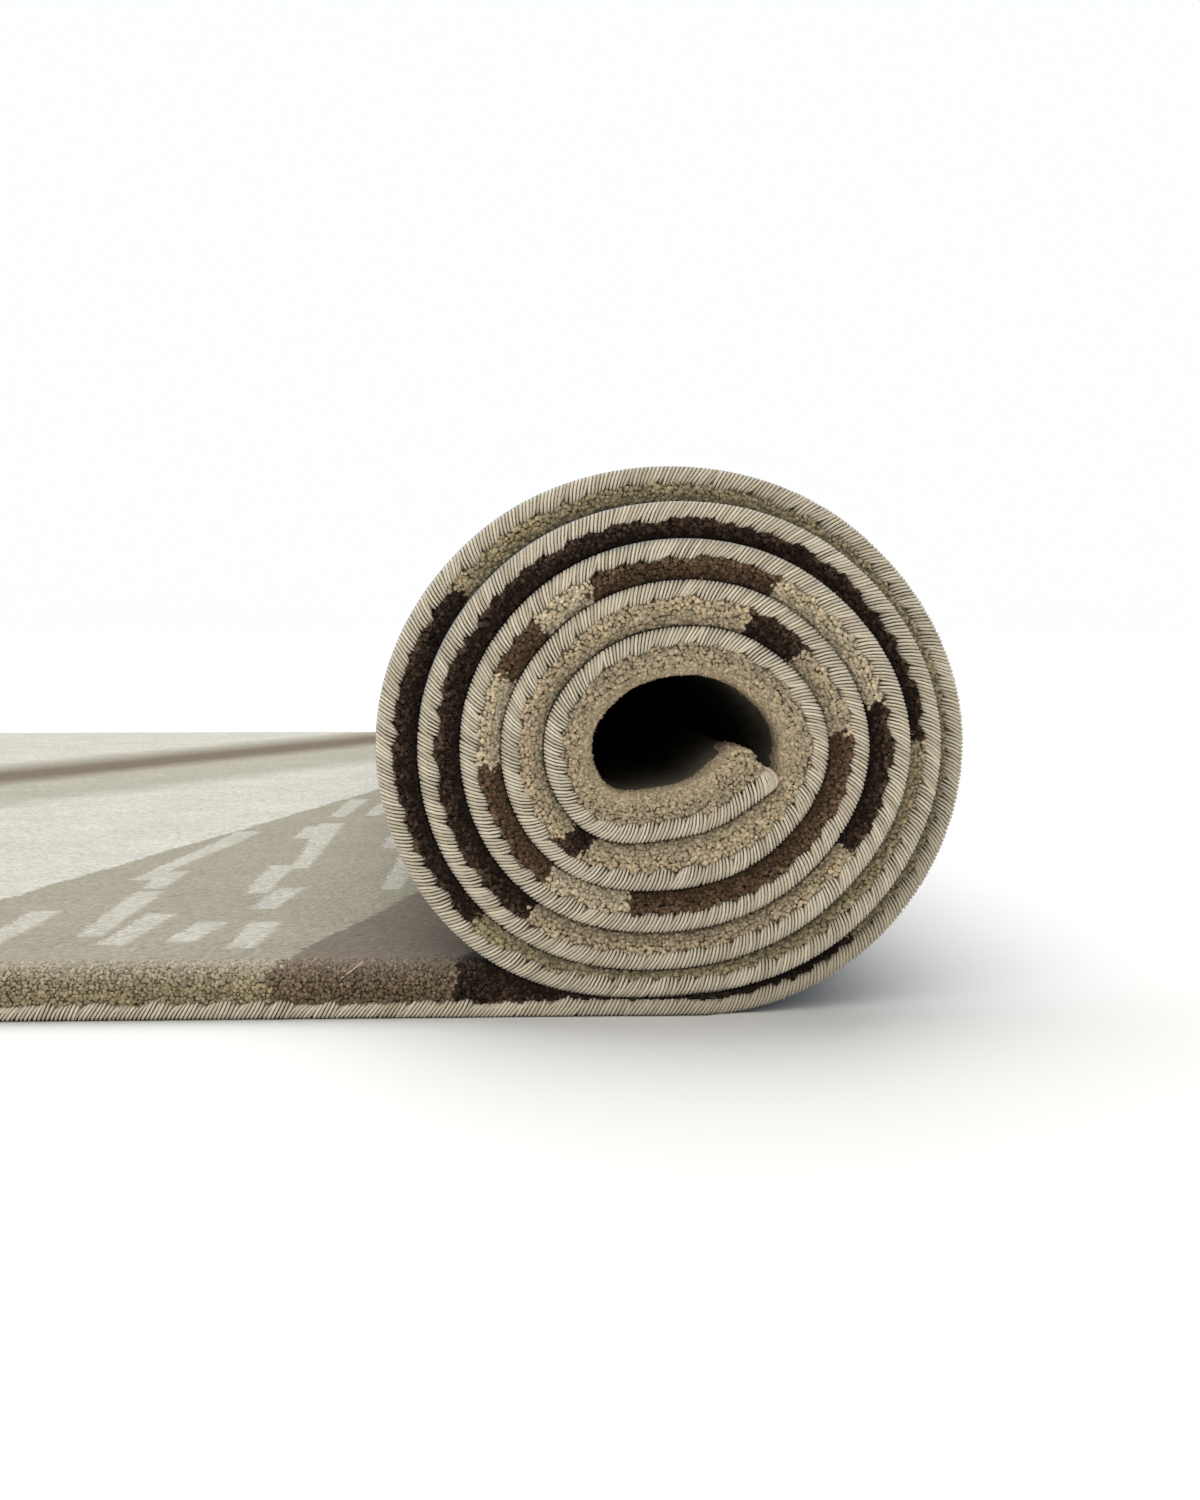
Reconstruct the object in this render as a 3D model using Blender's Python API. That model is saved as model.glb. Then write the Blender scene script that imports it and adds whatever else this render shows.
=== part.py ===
"""A tufted rug, rolled up pile inwards, with its last stretch lying flat on the floor.

The rug is one sheet: it lies flat from its outer end, passes under the roll, and winds
anticlockwise about the Y axis to its inner end, a tongue that shows in the eye of the roll.
+X points from the flat stretch towards the roll, +Y runs along the roll, and +Z is up.
The origin is on the floor, under the middle of the whole rug.
"""

import math
from bisect import bisect_right
from collections import namedtuple

import bmesh
import bpy
from mathutils import Vector
from mathutils.geometry import intersect_line_line_2d

MM = 0.001

# The cut rug, with its bindings on
RUG_WIDTH = 1524 * MM          # along the roll
FLAT_LENGTH = 530 * MM         # on the floor, up to the line under the roll's centre

# Layers, counted from the back of the rug
BACKING_THICKNESS = 1.0 * MM
BEAD_THICKNESS = 4.6 * MM      # the overcast binding, flat to flat
FLAT_THICKNESS = 14.5 * MM     # the pile stands free on the floor
CURLED_THICKNESS = 12.3 * MM   # the pile is crowded on the inside of the curl
PILE_SETBACK = 1.5 * MM        # from the front of the binding to the side of the pile
GAP = 0.3 * MM                 # between pieces
TURN_GAP = 0.6 * MM            # between the pile and the turn that it lies against

# The roll
TOUCHING_WIDTH = 11 * MM       # the rug stays on the floor this far past the roll's centre
STEP_ANGLE = 15                # degrees between sections of the roll
DIRECTION_ANGLE = 45           # degrees between the columns of TURN_RADII
BEAD_SIDES = 8
PROBES = 4                     # places between two sections where the room above the rug is measured

# From the roll's centre to the back of the rug, in mm: a row for each turn, from the outside in
TURN_RADII = (
    # right, upper right, top, upper left, left, lower left, bottom, lower right
    (87.4, 82.0, 77.7, 79.2, 82.0, 80.2, 71.1, 75.6),
    (78.5, 72.7, 67.3, 67.9, 70.5, 70.3, 64.2, 65.2),
    (68.4, 62.0, 56.7, 56.5, 58.8, 58.6, 53.5, 54.1),
    (56.4, 50.5, 45.2, 44.3, 47.3, 47.2, 41.7, 42.4),
    (44.8, 37.8, 32.1, 32.1, 35.4, 34.5, 27.4, 28.5),
)
RISING_RADII = {-90: 77.0, -45: 83.6}    # where the rug leaves the floor: winding angle in degrees, mm
TONGUE_RADII = {1770: 31.0, 1781: 34.0}  # the free tip in the eye, its last stretch straight
CENTRE_HEIGHT = RISING_RADII[-90] * MM

# How far each stretch of the edge lies back along the roll: winding angle in degrees, mm
EDGE_OFFSETS = {
    -90: 0, -45: 11, 0: 21, 45: 19, 90: 13, 135: 6, 180: 1, 225: 0, 270: 2, 315: 6,
    360: 9, 405: 8, 450: 4, 495: 1, 540: 0, 720: 2, 900: 0, 1080: 0, 1781: -1,
}

# Sections of the flat stretch: mm from the line under the roll's centre
FLAT_SECTIONS = (-420, -290, -170, -110, -80, -68, -60, -52, -44, -36, -28, -20, -12, -4, 4)

COLOURS = {
    # linear red, green, blue and roughness
    "wool": ((0.27, 0.23, 0.165), 0.95),
    "backing": ((0.42, 0.46, 0.52), 0.9),
    "binding": ((0.40, 0.36, 0.28), 0.85),
}

Section = namedtuple("Section", "run point normal thickness offset")


def smooth(table, at):
    """The value at a place in a {place: value} table, on a smooth curve through its rows."""
    places = sorted(table)
    at = min(max(at, places[0]), places[-1])
    row = min(bisect_right(places, at), len(places) - 1) - 1

    def slope(i):
        low = max(i - 1, 0)
        high = min(i + 1, len(places) - 1)
        return (table[places[high]] - table[places[low]]) / (places[high] - places[low])

    span = places[row + 1] - places[row]
    t = (at - places[row]) / span
    start, end = table[places[row]], table[places[row + 1]]
    return ((2 * t**3 - 3 * t**2 + 1) * start + (t**3 - 2 * t**2 + t) * span * slope(row)
            + (3 * t**2 - 2 * t**3) * end + (t**3 - t**2) * span * slope(row + 1))


def winding_radii():
    """The back's distance from the roll's centre, in mm, by winding angle in degrees."""
    radii = dict(RISING_RADII)
    for turn, row in enumerate(TURN_RADII):
        for direction, radius in enumerate(row):
            radii[turn * 360 + direction * DIRECTION_ANGLE] = radius
    radii.update(TONGUE_RADII)
    return radii


def back_line():
    """The back of the rug, seen along the roll: points from the roll's centre, with their winding angles."""
    places = [-FLAT_LENGTH] + [x * MM for x in FLAT_SECTIONS] + [TOUCHING_WIDTH]
    line = [(Vector((x, -CENTRE_HEIGHT)), min(RISING_RADII)) for x in places]
    radii = winding_radii()
    tip = max(radii)
    facing_tip = tip - 360
    steps = range(min(RISING_RADII) + STEP_ANGLE, tip, STEP_ANGLE)
    for angle in sorted([*steps, facing_tip, tip]):
        turned = math.radians(angle)
        radius = smooth(radii, angle) * MM
        line.append((Vector((math.cos(turned), math.sin(turned))) * radius, angle))
    return line


def free_thickness(angle):
    """The rug's thickness where nothing presses on it: full on the floor, less once it curls."""
    curled = min(max((angle - min(RISING_RADII)) / 180, 0), 1)
    return FLAT_THICKNESS + (CURLED_THICKNESS - FLAT_THICKNESS) * curled


def room_above(points, index, normal):
    """The least way from a section and its neighbours to the back of the next turn, along a normal."""
    reach = FLAT_THICKNESS * 3
    room = reach
    neighbours = points[max(index - 1, 0):index + 2]
    for start, end in zip(neighbours, neighbours[1:]):
        for part in range(PROBES + 1):
            probe = start.lerp(end, part / PROBES)
            for low, high in zip(points[index + 3:], points[index + 4:]):
                met = intersect_line_line_2d(probe, probe + normal * reach, low, high)
                if met:
                    room = min(room, (met - probe).length)
    return room


def sections():
    """The rug's sections, from its outer end on the floor to the tip of the tongue."""
    line = back_line()
    points = [point for point, angle in line]
    last = len(points) - 1
    found = []
    run = 0
    for index, (point, angle) in enumerate(line):
        # the last stretch is straight: the two sections at its ends face the same way
        before = points[max(index - 1, 0) if index < last - 1 else last - 1]
        after = points[min(index + 1, last)]
        along = (after - before).normalized()
        normal = Vector((-along.y, along.x))
        if index:
            run += (point - before).length
        thickness = min(free_thickness(angle), room_above(points, index, normal) - TURN_GAP)
        found.append(Section(run, point, normal, thickness, smooth(EDGE_OFFSETS, angle) * MM))
    return found


def between(low, high, share):
    """A section part of the way from one section to the next."""
    return Section(*(a + (b - a) * share for a, b in zip(low, high)))


def section_at(row, run):
    """The section at a length along the rug."""
    index = min(max(bisect_right([s.run for s in row], run) - 1, 0), len(row) - 2)
    low, high = row[index], row[index + 1]
    return between(low, high, (run - low.run) / (high.run - low.run))


def trimmed(row, margin):
    """The sections without a margin at either end of the rug."""
    first, last = row[0].run + margin, row[-1].run - margin
    inner = [s for s in row if first < s.run < last]
    return [section_at(row, first)] + inner + [section_at(row, last)]


def placed(section, across, above):
    """A point across the rug's width and above its back, in the rug's own frame."""
    x, height = section.point + section.normal * above
    return Vector((x, across + section.offset, height + CENTRE_HEIGHT))


def material(name):
    colour, roughness = COLOURS[name]
    made = bpy.data.materials.get(name) or bpy.data.materials.new(name)
    made.use_nodes = True
    shader = made.node_tree.nodes["Principled BSDF"]
    shader.inputs["Base Color"].default_value = (*colour, 1)
    shader.inputs["Roughness"].default_value = roughness
    shader.inputs["Metallic"].default_value = 0
    return made


def add(name, data, finish, collection):
    data.materials.append(material(finish))
    made = bpy.data.objects.new(name, data)
    collection.objects.link(made)
    return made


def lofted(name, outlines, finish, collection):
    """A closed solid through outlines with the same number of points, capped at both ends."""
    mesh = bpy.data.meshes.new(name)
    bm = bmesh.new()
    rings = [[bm.verts.new(point) for point in outline] for outline in outlines]
    for low, high in zip(rings, rings[1:]):
        for i in range(len(low)):
            j = (i + 1) % len(low)
            bm.faces.new((low[i], low[j], high[j], high[i]))
    bm.faces.new(rings[0])
    bm.faces.new(rings[-1])
    bmesh.ops.recalc_face_normals(bm, faces=bm.faces)
    bm.to_mesh(mesh)
    bm.free()
    return add(name, mesh, finish, collection)


def bead(name, route, finish, collection):
    """A round cord of yarn along a route, with a flat side towards the back of the rug."""
    curve = bpy.data.curves.new(name, "CURVE")
    curve.dimensions = "3D"
    curve.bevel_depth = BEAD_THICKNESS / 2 / math.cos(math.pi / BEAD_SIDES)
    curve.bevel_resolution = BEAD_SIDES // 2 - 2
    curve.use_fill_caps = True
    spline = curve.splines.new("POLY")
    spline.points.add(len(route) - 1)
    for knot, point in zip(spline.points, route):
        knot.co = (*point, 1)
        knot.tilt = math.pi / BEAD_SIDES
    return add(name, curve, finish, collection)


def carpet(row, collection):
    """The tufted pile in its foundation: the pile overhangs the bindings of the long edges."""
    inset = BEAD_THICKNESS + GAP
    ledge = BEAD_THICKNESS + GAP
    sole = BACKING_THICKNESS + GAP
    outlines = []
    for s in trimmed(row, inset):
        outlines.append([placed(s, across, above) for across, above in (
            (inset, sole), (RUG_WIDTH - inset, sole),
            (RUG_WIDTH - inset, ledge), (RUG_WIDTH - PILE_SETBACK, ledge),
            (RUG_WIDTH - PILE_SETBACK, s.thickness), (PILE_SETBACK, s.thickness),
            (PILE_SETBACK, ledge), (inset, ledge),
        )])
    return lofted("carpet", outlines, "wool", collection)


def backing_cloth(row, collection):
    """The cotton cloth glued to the back, between the bindings."""
    inset = BEAD_THICKNESS + GAP
    outlines = []
    for s in trimmed(row, inset):
        outlines.append([placed(s, across, above) for across, above in (
            (inset, 0), (RUG_WIDTH - inset, 0),
            (RUG_WIDTH - inset, BACKING_THICKNESS), (inset, BACKING_THICKNESS),
        )])
    return lofted("backing_cloth", outlines, "backing", collection)


def long_binding(name, row, across, collection):
    route = [placed(s, across, BEAD_THICKNESS / 2) for s in row]
    return bead(name, route, "binding", collection)


def end_binding(name, section, collection):
    ends = (BEAD_THICKNESS + GAP, RUG_WIDTH - BEAD_THICKNESS - GAP)
    route = [placed(section, across, BEAD_THICKNESS / 2) for across in ends]
    return bead(name, route, "binding", collection)


def centre_on_origin(pieces):
    """Move the rug so that the middle of its footprint is at the origin."""
    bpy.context.view_layer.update()
    corners = [piece.matrix_world @ Vector(corner) for piece in pieces for corner in piece.bound_box]
    low = [min(corner[i] for corner in corners) for i in range(3)]
    high = [max(corner[i] for corner in corners) for i in range(3)]
    for piece in pieces:
        piece.location -= Vector(((low[0] + high[0]) / 2, (low[1] + high[1]) / 2, low[2]))


def build():
    for old in list(bpy.data.objects):
        bpy.data.objects.remove(old)
    collection = bpy.data.collections.new("rolled_carpet")
    bpy.context.scene.collection.children.link(collection)
    row = sections()
    half_bead = BEAD_THICKNESS / 2
    pieces = [
        carpet(row, collection),
        backing_cloth(row, collection),
        long_binding("binding_near", row, half_bead, collection),
        long_binding("binding_far", row, RUG_WIDTH - half_bead, collection),
        end_binding("binding_outer_end", section_at(row, half_bead), collection),
        end_binding("binding_inner_end", section_at(row, row[-1].run - half_bead), collection),
    ]
    centre_on_origin(pieces)


build()
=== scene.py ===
"""Looks for the rolled up carpet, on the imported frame: pile, overcast edges, cotton back and fuzz."""

import math

import bmesh
import bpy
import numpy as np
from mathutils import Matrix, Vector


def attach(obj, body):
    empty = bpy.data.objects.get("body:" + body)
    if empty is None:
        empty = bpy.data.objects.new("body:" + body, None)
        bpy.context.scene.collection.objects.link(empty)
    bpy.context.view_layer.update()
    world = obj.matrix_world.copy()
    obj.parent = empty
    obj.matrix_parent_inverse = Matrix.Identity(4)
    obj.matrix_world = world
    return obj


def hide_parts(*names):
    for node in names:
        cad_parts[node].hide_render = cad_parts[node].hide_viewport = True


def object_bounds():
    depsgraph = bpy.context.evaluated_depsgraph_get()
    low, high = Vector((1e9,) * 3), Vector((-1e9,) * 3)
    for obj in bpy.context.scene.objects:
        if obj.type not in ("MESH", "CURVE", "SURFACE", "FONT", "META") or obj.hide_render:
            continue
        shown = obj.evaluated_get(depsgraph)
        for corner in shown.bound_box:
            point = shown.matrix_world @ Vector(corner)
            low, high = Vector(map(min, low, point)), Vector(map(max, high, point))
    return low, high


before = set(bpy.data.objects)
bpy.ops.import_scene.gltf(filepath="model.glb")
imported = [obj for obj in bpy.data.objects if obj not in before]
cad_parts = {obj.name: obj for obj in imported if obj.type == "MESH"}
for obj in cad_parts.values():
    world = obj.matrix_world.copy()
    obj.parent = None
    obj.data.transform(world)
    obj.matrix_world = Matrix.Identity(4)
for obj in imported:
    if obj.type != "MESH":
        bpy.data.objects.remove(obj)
cad_low, cad_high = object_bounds()

MM = 0.001
RNG = np.random.default_rng(7)

# -------------------------------- the rug's sizes, as in the frame
RUG_WIDTH = 1524 * MM
FLAT_LENGTH = 530 * MM
BACKING_THICKNESS = 1.0 * MM
FLAT_THICKNESS = 14.5 * MM
CURLED_THICKNESS = 12.3 * MM
TOUCHING_WIDTH = 11 * MM

# From the roll's centre to the back of the rug, in mm: a row for each turn, from the outside in.
# They are the frame's, but for the first turn's bottom, where the roll's weight crushes the pile
TURN_RADII = (
    # right, upper right, top, upper left, left, lower left, bottom, lower right
    (87.4, 82.0, 77.7, 79.2, 82.0, 80.2, 72.2, 75.6),
    (78.5, 72.7, 67.3, 67.9, 70.5, 70.3, 64.2, 65.2),
    (68.4, 62.0, 56.7, 56.5, 58.8, 58.6, 53.5, 54.1),
    (56.4, 50.5, 45.2, 44.3, 47.3, 47.2, 41.7, 42.4),
    (44.8, 37.8, 32.1, 32.1, 35.4, 34.5, 27.4, 28.5),
)
RISING_RADII = {-90: 77.0, -45: 83.6}
TONGUE_RADII = {1770: 31.0, 1781: 34.0}
# How far each stretch of the edge lies back along the roll: winding angle in degrees, mm
EDGE_OFFSETS = {
    -90: 0, -45: 11, 0: 21, 45: 19, 90: 13, 135: 6, 180: 1, 225: 0, 270: 2, 315: 6,
    360: 9, 405: 8, 450: 4, 495: 1, 540: 0, 720: 2, 900: 0, 1080: 0, 1781: -1,
}

ROLL_X = cad_high.x - TURN_RADII[0][0] * MM
ROLL_Z = cad_low.z + RISING_RADII[-90] * MM
FRONT_Y = cad_low.y - min(EDGE_OFFSETS.values()) * MM


# -------------------------------- the spiral
def smooth(table, at):
    """Values at places in a {place: value} table, on a smooth curve through its rows (cubic Hermite)."""
    places = np.array(sorted(table), float)
    values = np.array([table[p] for p in sorted(table)], float)
    at = np.clip(at, places[0], places[-1])
    row = np.clip(np.searchsorted(places, at, side="right") - 1, 0, len(places) - 2)
    low = np.maximum(np.arange(len(places)) - 1, 0)
    high = np.minimum(np.arange(len(places)) + 1, len(places) - 1)
    slopes = (values[high] - values[low]) / (places[high] - places[low])
    span = places[row + 1] - places[row]
    t = (at - places[row]) / span
    return ((2 * t**3 - 3 * t**2 + 1) * values[row] + (t**3 - 2 * t**2 + t) * span * slopes[row]
            + (3 * t**2 - 2 * t**3) * values[row + 1] + (t**3 - t**2) * span * slopes[row + 1])


def winding_radii():
    """All the radii in one table: winding angle in degrees, mm."""
    radii = dict(RISING_RADII)
    for turn, row in enumerate(TURN_RADII):
        for direction, radius in enumerate(row):
            radii[turn * 360 + direction * 45] = radius
    radii.update(TONGUE_RADII)
    return radii


class Winding:
    """The rug seen along the roll: where its back lies, which way the pile points and how thick it is,
    as arrays over the run from the outer end on the floor to the tip of the tongue."""

    FLAT_STEP = 2 * MM
    RUN_STEP = 1 * MM
    SPARE = 12 * MM                # straight on past both ends, for the bindings that turn round them
    # winding angles in degrees
    LEAVING_ANGLE = -80            # the back has just left the floor
    OVERHANG_ANGLE = 180           # the first place that can lie over another part of the rug
    # how far up from the back the next turn is looked for, and in how many steps
    SEARCH_HEIGHT = 3 * FLAT_THICKNESS
    SEARCH_STEPS = 220
    TURN_GAP = 0.35 * MM           # between the pile and the back of the next turn
    PILE_STRETCH = 2.6 * MM        # the pile stands up this much taller if it then meets the next turn
    LOOSE_EXTRA = 1 * MM           # it is this much thicker in the last turns and at the tongue's tip

    def __init__(self):
        self.radii = winding_radii()
        self.tip = max(self.radii)
        self.trace_back()
        self.find_normals()
        self.room = self.room_above()
        self.thickness = self.pile_thickness()
        self.offset = smooth(EDGE_OFFSETS, self.angle) * MM
        self.extend()

    def trace_back(self):
        """The line of the rug's back in even steps, first along the floor and then round the spiral."""
        height = RISING_RADII[-90] * MM
        flat_x = np.arange(-FLAT_LENGTH, TOUCHING_WIDTH, self.FLAT_STEP)
        angles = np.arange(self.LEAVING_ANGLE, self.tip + 1, 1.0)
        turned = np.radians(angles)
        radius = smooth(self.radii, angles) * MM
        x = np.concatenate([flat_x, radius * np.cos(turned)])
        z = np.concatenate([np.full(len(flat_x), -height), radius * np.sin(turned)])
        angle = np.concatenate([np.full(len(flat_x), -90.0), angles])
        run = np.concatenate([[0], np.cumsum(np.hypot(np.diff(x), np.diff(z)))])
        self.length = run[-1]
        self.run = np.arange(0, self.length, self.RUN_STEP)
        self.x, self.z, self.angle = (np.interp(self.run, run, values) for values in (x, z, angle))

    def find_normals(self):
        """Which way the pile points, softened a little where the floor stretch turns into the roll."""
        tangent_x, tangent_z = np.gradient(self.x), np.gradient(self.z)
        size = np.hypot(tangent_x, tangent_z)
        tangent_x, tangent_z = self.soften(tangent_x / size), self.soften(tangent_z / size)
        size = np.hypot(tangent_x, tangent_z)
        self.nx, self.nz = -tangent_z / size, tangent_x / size

    @staticmethod
    def soften(values, reach=4):
        kernel = np.ones(2 * reach + 1) / (2 * reach + 1)
        return np.convolve(np.pad(values, reach, mode="edge"), kernel, mode="valid")

    def room_above(self):
        """How far above its back the rug meets the back of the next turn."""
        heights = np.linspace(0, self.SEARCH_HEIGHT, self.SEARCH_STEPS)
        x = self.x[:, None] + self.nx[:, None] * heights
        z = self.z[:, None] + self.nz[:, None] * heights
        here = np.degrees(np.arctan2(self.z, self.x))
        turned = np.degrees(np.arctan2(z, x)) - here[:, None]
        turned = (turned + 180) % 360 - 180
        flat = self.angle <= self.LEAVING_ANGLE
        winding = np.where(flat, here, self.angle)
        winding = winding[:, None] + turned + 360
        inside = np.hypot(x, z) < smooth(self.radii, winding) * MM
        inside &= (winding <= self.tip) & (winding >= self.OVERHANG_ANGLE)
        first = np.argmax(inside, axis=1)
        return np.where(inside.any(axis=1), heights[first], self.SEARCH_HEIGHT)

    def pile_thickness(self):
        """Free on the floor and at the tip of the tongue, crowded on the inside of the curl, and filling
        the room where the next turn is close."""
        loose = CURLED_THICKNESS + self.LOOSE_EXTRA
        by_angle = {-90: FLAT_THICKNESS, 90: CURLED_THICKNESS, self.tip - 500: loose, self.tip - 50: loose,
                    self.tip - 12: FLAT_THICKNESS + self.LOOSE_EXTRA}
        free = np.interp(self.angle, list(by_angle), list(by_angle.values()))
        pressed = self.room - self.TURN_GAP
        return self.soften(np.where(pressed < free + self.PILE_STRETCH, pressed, free), reach=6)

    def extend(self):
        """Straight on past both ends."""
        for name, slopes in (("x", self.nz), ("z", -self.nx)):
            values = getattr(self, name)
            before = values[0] - slopes[0] * self.SPARE
            after = values[-1] + slopes[-1] * self.SPARE
            setattr(self, name, np.concatenate([[before], values, [after]]))
        for name in ("nx", "nz", "thickness", "offset", "angle", "room"):
            values = getattr(self, name)
            setattr(self, name, np.concatenate([values[:1], values, values[-1:]]))
        self.run = np.concatenate([[-self.SPARE], self.run, [self.run[-1] + self.SPARE]])

    def read(self, name, run):
        return np.interp(run, self.run, getattr(self, name))

    def place(self, run, across, above):
        """Points in the frame, from places on the rug: run, across from its near edge, above its back."""
        run, across, above = np.broadcast_arrays(run, across, above)
        x = self.read("x", run) + self.read("nx", run) * above
        z = self.read("z", run) + self.read("nz", run) * above
        y = self.read("offset", run) + across
        return np.stack([x + ROLL_X, y + FRONT_Y, z + ROLL_Z], axis=-1)


rug = Winding()


# -------------------------------- meshes
PLACE = "rug_place"        # the attribute for a point's run from the roll's centre line, across and tone


def mesh_piece(name, points, faces, finish, marks):
    """A piece from points and faces; marks holds each point's run, across and tone."""
    mesh = bpy.data.meshes.new(name)
    mesh.from_pydata(np.asarray(points).tolist(), [], [list(f) for f in faces])
    store = mesh.attributes.new(PLACE, "FLOAT_VECTOR", "POINT")
    store.data.foreach_set("vector", (marks - (FLAT_LENGTH, 0, 0)).astype(np.float32).ravel())
    mesh.polygons.foreach_set("use_smooth", np.ones(len(mesh.polygons), bool))
    mesh.materials.append(finish)
    mesh.update()
    piece = bpy.data.objects.new(name, mesh)
    bpy.context.scene.collection.objects.link(piece)
    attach(piece, "root")
    return piece


def unit(vectors):
    return vectors / np.maximum(np.linalg.norm(vectors, axis=-1, keepdims=True), 1e-12)


def tube_mesh(paths, radii, sides, side_hint):
    """Tubes with capped ends along paths (tube, point, xyz); side_hint is a direction across each path."""
    count, steps, _ = paths.shape
    along = unit(np.gradient(paths, axis=1))
    first = unit(side_hint - (side_hint * along).sum(-1, keepdims=True) * along)
    second = np.cross(along, first)
    turn = np.arange(sides) / sides * 2 * math.pi + math.pi / sides
    ring = (first[:, :, None] * np.cos(turn)[:, None] + second[:, :, None] * np.sin(turn)[:, None])
    points = paths[:, :, None] + ring * np.asarray(radii)[..., None, None]
    index = np.arange(count * steps * sides).reshape(count, steps, sides)
    low, high = index[:, :-1], index[:, 1:]
    quads = np.stack([low, np.roll(low, -1, 2), np.roll(high, -1, 2), high], axis=-1).reshape(-1, 4)
    caps = [index[:, 0, ::-1], index[:, -1]]
    return points.reshape(-1, 3), quads, np.concatenate(caps)


# -------------------------------- colours and the design
COLOURS = {
    # linear red, green, blue
    "cream": (0.74, 0.68, 0.525),
    "ivory": (0.65, 0.585, 0.44),
    "straw": (0.54, 0.485, 0.345),
    "sage": (0.43, 0.378, 0.25),
    "beige": (0.505, 0.435, 0.315),
    "pale_beige": (0.60, 0.538, 0.405),
    "brown": (0.245, 0.19, 0.127),
    "cocoa": (0.122, 0.078, 0.046),
    "umber": (0.20, 0.142, 0.078),
    "dark": (0.030, 0.017, 0.011),
    "yarn": (0.86, 0.785, 0.63),
    "yarn_shade": (0.46, 0.395, 0.29),
    # the cord under the strands: a real cord, and its darker colour is painted shade in the gaps between
    # them
    "core_painted_shade": (0.31, 0.26, 0.185),
    "cotton": (0.47, 0.495, 0.53),
    "cotton_shade": (0.37, 0.39, 0.425),
}

# The fields of the design along the near edge, in mm from the line under the roll's centre
FIELDS = (
    (-600, "cream"), (-259, "sage"), (-120, "brown"), (-68, "dark"), (53, "sage"), (334, "dark"),
    (436, "sage"), (624, "dark"), (908, "beige"), (1024, "dark"), (1068, "pale_beige"),
    (1119, "cocoa"), (1181, "pale_beige"), (1203, "cocoa"), (1227, "pale_beige"), (1255, "cocoa"),
    (1292, "pale_beige"), (1322, "cocoa"), (1423, "beige"), (1454, "dark"), (1477, "beige"),
    (1604, "dark"), (1622, "beige"),
)
FIELD_LEAN = 0.197         # the fields' borders move this far along the rug for each metre across it
FIELD_SPAN = (-600, 2000)  # the lowest and highest place that the fields' ramp covers, in mm

# A broad band crosses the cream field at a steeper slant: its colours by place, in mm, at the near edge
BAND_LEAN = 0.43
BAND = ((-1200, "cream"), (-830, "cream"), (-800, "straw"), (-745, "umber"), (-709, "umber"),
        (-664, "straw"), (-590, "straw"), (-545, "cream"))
BAND_SPAN = (-1200, 0)

# Borders wander to and fro, and are ragged on top of that: by how much, and the scale of the noise
WANDER, WANDER_SCALE = 6 * MM, 28.0
RAGGED, RAGGED_SCALE = 5 * MM, 350.0

# Ivory dashes lie in staggered rows across the sage field. Their layout is the script's own: a rule and
# seeded chance. In mm: how far into the field each row lies, where in a row the first may start, the
# lengths to choose from, the gaps between dashes, their width, and how far across the rug they go
DASH_ROWS = (22, 41, 60, 80, 101, 121)
DASH_STARTS = (12, 82)
DASH_LENGTHS = (45, 60, 75, 95, 120, 170, 210)
DASH_GAPS = (30, 170)
DASH_WIDTH = 8
DASH_REACH = 650
# A dash leans along the rug, grows wider across it, and bends with the wandering, by these shares
DASH_LEANS = (0.0, 0.12)
DASH_TAPER = 0.012
DASH_BEND = 0.35
DASH_FADE = (-1.2 * MM, 0.1 * MM)    # it fades in between this far outside its edge and this far inside
DASH_END_SHARPNESS = 0.4   # its ends fade in over a longer way than its sides: at 1 it is the same


def lay_out_dashes():
    """The dashes: for each, where its middle lies along the rug, from where to where it goes across the
    rug, all in mm, and its lean."""
    chance = np.random.default_rng(8)
    first, last = DASH_STARTS
    laid = []
    for into in DASH_ROWS:
        start = first + chance.uniform(0, last - first)
        while start < DASH_REACH:
            end = start + chance.choice(DASH_LENGTHS)
            run = FIELDS[1][0] + into + FIELD_LEAN * (start + end) / 2
            laid.append((run, start, end, chance.uniform(*DASH_LEANS)))
            start = end + chance.uniform(*DASH_GAPS)
    return laid


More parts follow.
